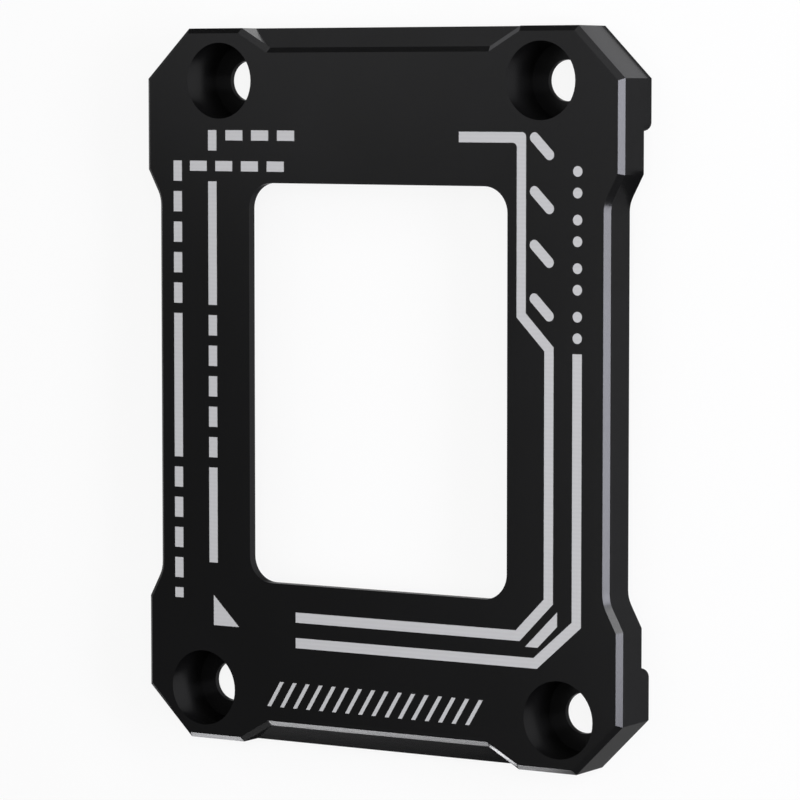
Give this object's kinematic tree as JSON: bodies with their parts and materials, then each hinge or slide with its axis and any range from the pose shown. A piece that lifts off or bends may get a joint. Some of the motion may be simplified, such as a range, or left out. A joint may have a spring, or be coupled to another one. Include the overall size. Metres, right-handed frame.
{
  "type": "processor contact frame",
  "caption": "Flat rectangular frame with cut corners, a rounded window, counterbored screw holes and etched circuit lines; it clamps a processor flat in its socket.",
  "frame": {"origin": "middle of the plate, on the surface that the feet rest on", "axes": "+Z out of the front face, +Y along the plate towards its narrow row of screw holes, +X across it to the right as the front is read"},
  "size_m": [0.0534, 0.07, 0.006],
  "materials": {
    "frame": "bead blasted and anodised black",
    "etched_marks": "laser etched, bare matt metal"
  },
  "bodies": {
    "root": {"contact_frame": "frame"}
  },
  "joints": []
}
